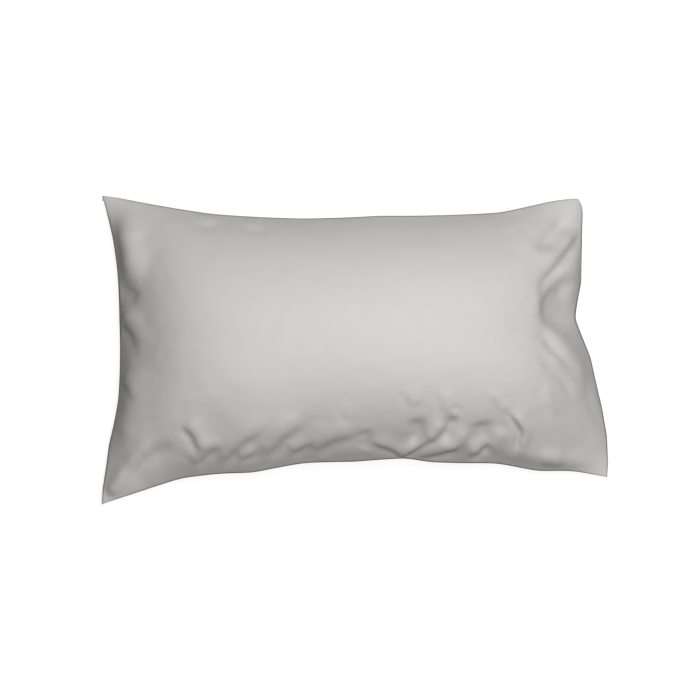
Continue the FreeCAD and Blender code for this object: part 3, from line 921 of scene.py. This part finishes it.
class PILLOW_OT_back_panel(bpy.types.Operator):
    """Make the back panel from the sewn cloth"""

    bl_idname = "pillow.back_panel"
    bl_label = "Back panel"

    def execute(self, context):
        obj = cloth_object("back_panel", work["back"], finish_of("case_cotton"), PANEL_CUT[::-1], flip=True)
        placed(obj, CASE, "case_cotton", "case_back_panel")
        limp(obj)
        return {"FINISHED"}


class PILLOW_OT_case_seams(bpy.types.Operator):
    """Fold the French seams inside both sides and the closed end, with the bar tacks at the mouth"""

    bl_idname = "pillow.case_seams"
    bl_label = "Seams and bar tacks"

    # The seam's cross-section, in millimetres inwards and up.
    FRENCH_SEAM = ((0.6, 0.0), (2.2, 0.5), (6.6, 0.6), (7.6, 0.0), (6.6, -0.6), (2.2, -0.5))

    def execute(self, context):
        front, back = work["front"], work["back"]
        last = front.shape[0] - 1
        stop = int(last * 0.985)
        lines = {
            "far_seam": (0.5 * (front[:stop, -1] + back[:stop, -1]), (0, -1, 0)),
            "near_seam": (0.5 * (front[:stop, 0] + back[:stop, 0]), (0, 1, 0)),
            "end_seam": (0.5 * (front[0, 8:-8] + back[0, 8:-8]), (1, 0, 0)),
        }
        for name, (line, inward) in lines.items():
            into, up = np.array(inward) * MM, np.array([0, 0, MM])
            rails = [line[::2] + into * depth + up * rise for depth, rise in self.FRENCH_SEAM]
            obj = strip(name, rails, finish_of("case_cotton"), PANEL_CUT[1])
            placed(obj, CASE, "case_cotton", "case_" + name)
            limp(obj)
        rows = []
        for column, inward in ((-1, -1.0), (0, 1.0)):
            ends = 0.5 * (front[-12:, column] + back[-12:, column])
            start, end = ends[1], ends[-3]
            zigzag = []
            for k in range(15):
                point = start + (end - start) * k / 14
                zigzag.append(point + np.array([0, inward * (0.0022 + 0.0026 * (k % 2)), 0.0004]))
            rows.append(np.array(zigzag))
        tacks = stitched("mouth_tacks", rows, 0.0022, 0.0002, 0.00026)
        placed(tacks, CASE, "sewing_thread", "case_mouth_tacks")
        limp(tacks)
        return {"FINISHED"}


class PILLOW_OT_tuck_flap(bpy.types.Operator):
    """Turn the flap in at the mouth, and hem it and the back panel"""

    bl_idname = "pillow.tuck_flap"
    bl_label = "Tuck-in flap and hems"

    def execute(self, context):
        front, back = work["front"], work["back"]
        u_line = np.linspace(1 - 2 * FLAP_CUT[0] / CASE_LONG, 1.0, 64)
        u, v = np.meshgrid(u_line, np.linspace(-FLAP_V, FLAP_V, 91), indexing="ij")
        over, under = sampled(front, u, v), sampled(back, u, v)
        turned = smooth_step((1 - u) / (2 * FLAP_FOLD / CASE_LONG))
        hang = over[..., 2] - 1.1 * MM
        rumpled = 0.6 * MM * uneven_field(u * CASE_LONG / 2, v * CASE_WIDE / 2, 0.03, 21)
        lying = np.minimum(under[..., 2] + FLAP_GAP + rumpled, hang)
        flap = under.copy()
        flap[..., :2] = over[..., :2] * (1 - turned[..., None]) + under[..., :2] * turned[..., None]
        flap[..., 2] = np.maximum(hang * (1 - turned) + lying * turned, under[..., 2] + 0.7 * MM)
        obj = cloth_object("tuck_flap", flap, finish_of("case_cotton"), FLAP_CUT, 0.0004, inward=False)
        placed(obj, CASE, "case_cotton", "case_tuck_flap")
        flap_hem = self.flap_hem(flap)
        limp(obj)
        u_line = np.linspace(1 - 2 * BACK_HEM_WIDE / CASE_LONG, 0.997, 10)
        u, v = np.meshgrid(u_line, np.linspace(-HEM_V, HEM_V, 91), indexing="ij")
        hem = sampled(back, u, v) + np.array([0, 0, 0.5 * MM])
        hem_cut = (BACK_HEM_WIDE, PANEL_CUT[0])
        back_hem = cloth_object("back_hem", hem, finish_of("case_cotton"), hem_cut, 0.0008, inward=False)
        placed(back_hem, CASE, "case_cotton", "case_back_hem")
        limp(back_hem)
        rows = [hem[1] + np.array([0, 0, 0.0011]), flap[5, 1:-1] + np.array([0, 0, 0.0007])]
        stitches = stitched("hem_stitching", rows)
        placed(stitches, CASE, "sewing_thread", "case_hem_stitching")
        limp(stitches)
        return {"FINISHED"}

    def flap_hem(self, flap):
        """The double fold along the flap's free edge."""
        hem = flap[:6] - np.array([0, 0, 0.0012])
        hem_cut = (FLAP_HEM_WIDE, PANEL_CUT[0])
        obj = cloth_object("flap_hem", hem, finish_of("case_cotton"), hem_cut, 0.0007, inward=False)
        placed(obj, CASE, "case_cotton", "case_flap_hem")
        return limp(obj)


class PILLOW_OT_ticking(bpy.types.Operator):
    """Make the ticking, its piping and its closing stitch inside the case, and fill it"""

    bl_idname = "pillow.ticking"
    bl_label = "Filled ticking"

    def execute(self, context):
        props = context.scene.pillow_insert
        rows, columns = 151, 93
        s, t = places_uv(rows, columns)
        u = (INSERT_U[0] + INSERT_U[1]) / 2 + s * (INSERT_U[1] - INSERT_U[0]) / 2
        v = t * INSERT_V
        plan = sampled(filled_plan(251, 153), u, v)
        over, under = self.heights(plan)
        seam = seam_z(plan[..., 0])
        edge = (1 - np.abs(s) ** 9) * (1 - np.abs(t) ** 7)
        flap_zone = smooth_step((u - 0.50) / 0.08)
        gap = props.clearance
        top = seam + np.maximum(over - seam - gap * 1.4, 0.0) * edge
        bottom = seam - np.maximum(seam - under - gap - 0.0045 * flap_zone, 0.0) * edge
        ease = puckers((s, t), 0.0012, 0.016, 91) * (1 - np.exp(-(1 - np.maximum(np.abs(s), np.abs(t))) / 0.02))
        top = top - np.abs(ease)
        bottom = bottom + np.abs(puckers((s, t), 0.0012, 0.016, 97)) * (edge > 0)
        middle = (top + bottom) / 2
        top, bottom = np.maximum(top, middle), np.minimum(bottom, middle)
        shapes = {"top": np.dstack([plan, top]), "bottom": np.dstack([plan, bottom])}
        for k, lift in (("top", 0.3 * MM), ("bottom", -0.3 * MM)):
            grid = shapes[k] + np.array([0, 0, lift])
            finish, under_side = finish_of("ticking_cotton"), k == "bottom"
            obj = cloth_object(f"ticking_{k}", grid, finish, TICKING_CUT[::-1], 0.0004, flip=under_side)
            placed(obj, INSERT, "ticking_cotton", f"ticking_{k}_panel")
        work["ticking_top"] = shapes["top"]
        self.filling(shapes)
        self.edging(shapes, props)
        return {"FINISHED"}

    def heights(self, plan):
        """The case's inner heights over and under each point of the plan."""
        found = []
        for name, down in (("front", 1.0), ("back", -1.0)):
            grid = work[name]
            tree = BVHTree.FromPolygons(grid.reshape(-1, 3).tolist(), grid_faces(*grid.shape[:2]).tolist())
            heights = np.empty(plan.shape[:2])
            for index in np.ndindex(*heights.shape):
                x, y = plan[index]
                start = Vector((x, y, 0.5 * down))
                hit = tree.ray_cast(start, Vector((0, 0, -down)))[0]
                heights[index] = hit.z if hit else seam_z(x)
            found.append(heights)
        return found

    def filling(self, shapes):
        """Lumps of fibre that take up the ticking's inside."""
        top, bottom = shapes["top"][::2, ::2].copy(), shapes["bottom"][::2, ::2].copy()
        middle = (top + bottom) / 2
        lumps = 0.0012 + 0.0010 * uneven_field(top[..., 0], top[..., 1], 0.02, 31)
        thick = (top - bottom)[..., 2]
        inset = np.minimum(lumps, thick * 0.3)
        top[..., 2] -= inset
        bottom[..., 2] += inset
        rows, columns = top.shape[:2]
        count = rows * columns
        edge = np.zeros((rows, columns), bool)
        edge[0] = edge[-1] = True
        edge[:, 0] = edge[:, -1] = True
        top[edge] = bottom[edge] = middle[edge]
        index = np.arange(count)
        inner = np.flatnonzero(~edge.ravel())
        index[inner] = count + np.arange(len(inner))
        points = np.vstack([top.reshape(-1, 3), bottom.reshape(-1, 3)[inner]])
        faces = np.vstack([grid_faces(rows, columns), index[grid_faces(rows, columns, flip=True)]])
        obj = new_object("filling", points, faces, finish_of("fibre_wadding"))
        placed(obj, INSERT, "fibre_wadding", "fibre_fill")

    def edging(self, shapes, props):
        """The corded piping round the edge, and the stitches that closed the ticking after it was filled."""
        grid = shapes["top"]
        loop = np.vstack([grid[:-1, 0], grid[-1, :-1], grid[:0:-1, -1], grid[0, :0:-1]])
        left = edge_frames(loop, closed=True)[1]
        path = loop - left * (props.piping_radius + 0.0005)
        cord = tube("piping", path, props.piping_radius, finish_of("ticking_cotton"), closed=True)
        placed(cord, INSERT, "ticking_cotton", "ticking_piping")
        row = grid[-4, 52:76] + np.array([0, 0, 0.0006])
        closing = stitched("closing_stitch", [row], 0.0034, 0.0012, 0.0003)
        placed(closing, INSERT, "sewing_thread", "ticking_closing_stitch")


class PILLOW_OT_labels(bpy.types.Operator):
    """Sew in the two blank care labels"""

    bl_idname = "pillow.labels"
    bl_label = "Care labels"

    def execute(self, context):
        case = self.label("case_label", work["back"], CASE_LABEL_AT, 0.0016, 0.0030)
        placed(case, CASE, "label_satin", "case_care_label")
        limp(case)
        ticking = self.label("ticking_label", work["ticking_top"], TICKING_LABEL_AT, 0.0011, 0.0010)
        placed(ticking, INSERT, "label_satin", "ticking_care_label")
        return {"FINISHED"}

    def label(self, name, cloth, at, lift, curl):
        """A blank ribbon from the near seam inwards over a cloth, a little off it and curled at its end."""
        wide, long = LABEL_CUT
        s, t = np.meshgrid(np.linspace(0, 1, 14), np.linspace(0, 1, 18), indexing="ij")
        u = at[0] + s * wide / 0.37
        v = at[1] + t * long / 0.29  # the cloth climbs steeply here, so a share of v is longer than on the plan
        grid = sampled(cloth, u, v)
        grid[..., 2] += lift + curl * (0.3 * np.sin(s * math.pi) * t + t**3 * 0.7)
        return cloth_object(name, grid, finish_of("label_satin"), LABEL_CUT, 0.0004)


class PILLOW_OT_stage(bpy.types.Operator):
    """Set the floor, the lights and the camera"""

    bl_idname = "pillow.stage"
    bl_label = "Floor, lights and camera"

    def execute(self, context):
        props = context.scene.pillow_stage
        reach, drop = 6.0, -0.5 * MM
        corners = ((-1, -1), (1, -1), (1, 1), (-1, 1))
        floor = new_object("floor", [(x * reach, y * reach, drop) for x, y in corners], [[0, 1, 2, 3]])
        floor.data.materials.append(floor_finish("pale_sweep", props.floor_tone, props.floor_glow))
        # The sweep's own glow lights nothing but itself, so that the pillow's edges stay in their own shade.
        itself = bpy.data.collections.new("lit_by_the_sweep")
        itself.objects.link(floor)
        floor.light_linking.receiver_collection = itself
        self.light(context, "key", (0.95, 1.45, 2.7), 1.3, props.key_power)
        self.light(context, "overhead", (0.25, 0.15, 3.2), 1.5, props.fill_power)
        world = bpy.data.worlds.new("studio")
        context.scene.world = world
        world.use_nodes = True
        tree = world.node_tree
        sky = tree.nodes["Background"]
        sky.inputs["Color"].default_value = (1, 1, 1, 1)
        # The sky is pale to look at, and gives only a little light.
        seen = add(tree, "ShaderNodeLightPath")
        strength = add(tree, "ShaderNodeMapRange", {"To Min": props.sky, "To Max": 0.96})
        tree.links.new(seen.outputs["Is Camera Ray"], strength.inputs["Value"])
        tree.links.new(strength.outputs["Result"], sky.inputs["Strength"])
        camera = bpy.data.cameras.new("camera")
        # The view is as wide as asked for at the height of the cloth's outline.
        outline_height = 0.06
        camera.sensor_width = 36.0
        camera.lens = camera.sensor_width * (props.camera_height - outline_height) / props.view_width
        camera.clip_end = 50.0
        holder = bpy.data.objects.new("camera", camera)
        holder.location = (props.camera_aside, 0.0, props.camera_height)
        context.scene.collection.objects.link(holder)
        context.scene.camera = holder
        context.scene.view_settings.view_transform = "Standard"
        return {"FINISHED"}

    def light(self, context, name, place, size, power):
        """A round soft light that faces the pillow."""
        lamp = bpy.data.lights.new(name, "AREA")
        lamp.shape, lamp.size, lamp.energy = "DISK", size, power
        holder = bpy.data.objects.new(name, lamp)
        holder.location = place
        holder.rotation_euler = (Vector((0, 0, 0.1)) - Vector(place)).to_track_quat("-Z", "Y").to_euler()
        context.scene.collection.objects.link(holder)


class PILLOW_PT_panel(bpy.types.Panel):
    """The pillow's pieces, in the order they are made"""

    bl_idname = "PILLOW_PT_panel"
    bl_label = "Bed pillow"
    bl_space_type = "VIEW_3D"
    bl_region_type = "UI"
    bl_category = "Pillow"

    def draw(self, context):
        for group in (context.scene.pillow_case, context.scene.pillow_insert, context.scene.pillow_stage):
            box = self.layout.box()
            for name in group.bl_rna.properties.keys():
                if name not in ("rna_type", "name"):
                    box.prop(group, name)
        for operator in OPERATORS:
            self.layout.operator(operator.bl_idname)


OPERATORS = (
    PILLOW_OT_case_cloth,
    PILLOW_OT_front_panel,
    PILLOW_OT_back_panel,
    PILLOW_OT_case_seams,
    PILLOW_OT_tuck_flap,
    PILLOW_OT_ticking,
    PILLOW_OT_labels,
    PILLOW_OT_stage,
)
CLASSES = (PillowCaseSizes, PillowInsertSizes, PillowStageSizes, *OPERATORS, PILLOW_PT_panel)


def register():
    for each in CLASSES:
        bpy.utils.register_class(each)
    bpy.types.Scene.pillow_case = bpy.props.PointerProperty(type=PillowCaseSizes)
    bpy.types.Scene.pillow_insert = bpy.props.PointerProperty(type=PillowInsertSizes)
    bpy.types.Scene.pillow_stage = bpy.props.PointerProperty(type=PillowStageSizes)


def unregister():
    del bpy.types.Scene.pillow_stage
    del bpy.types.Scene.pillow_insert
    del bpy.types.Scene.pillow_case
    for each in reversed(CLASSES):
        bpy.utils.unregister_class(each)


def main():
    register()
    for operator in OPERATORS:
        group, name = operator.bl_idname.split(".")
        getattr(getattr(bpy.ops, group), name)()


if __name__ == "__main__":
    main()
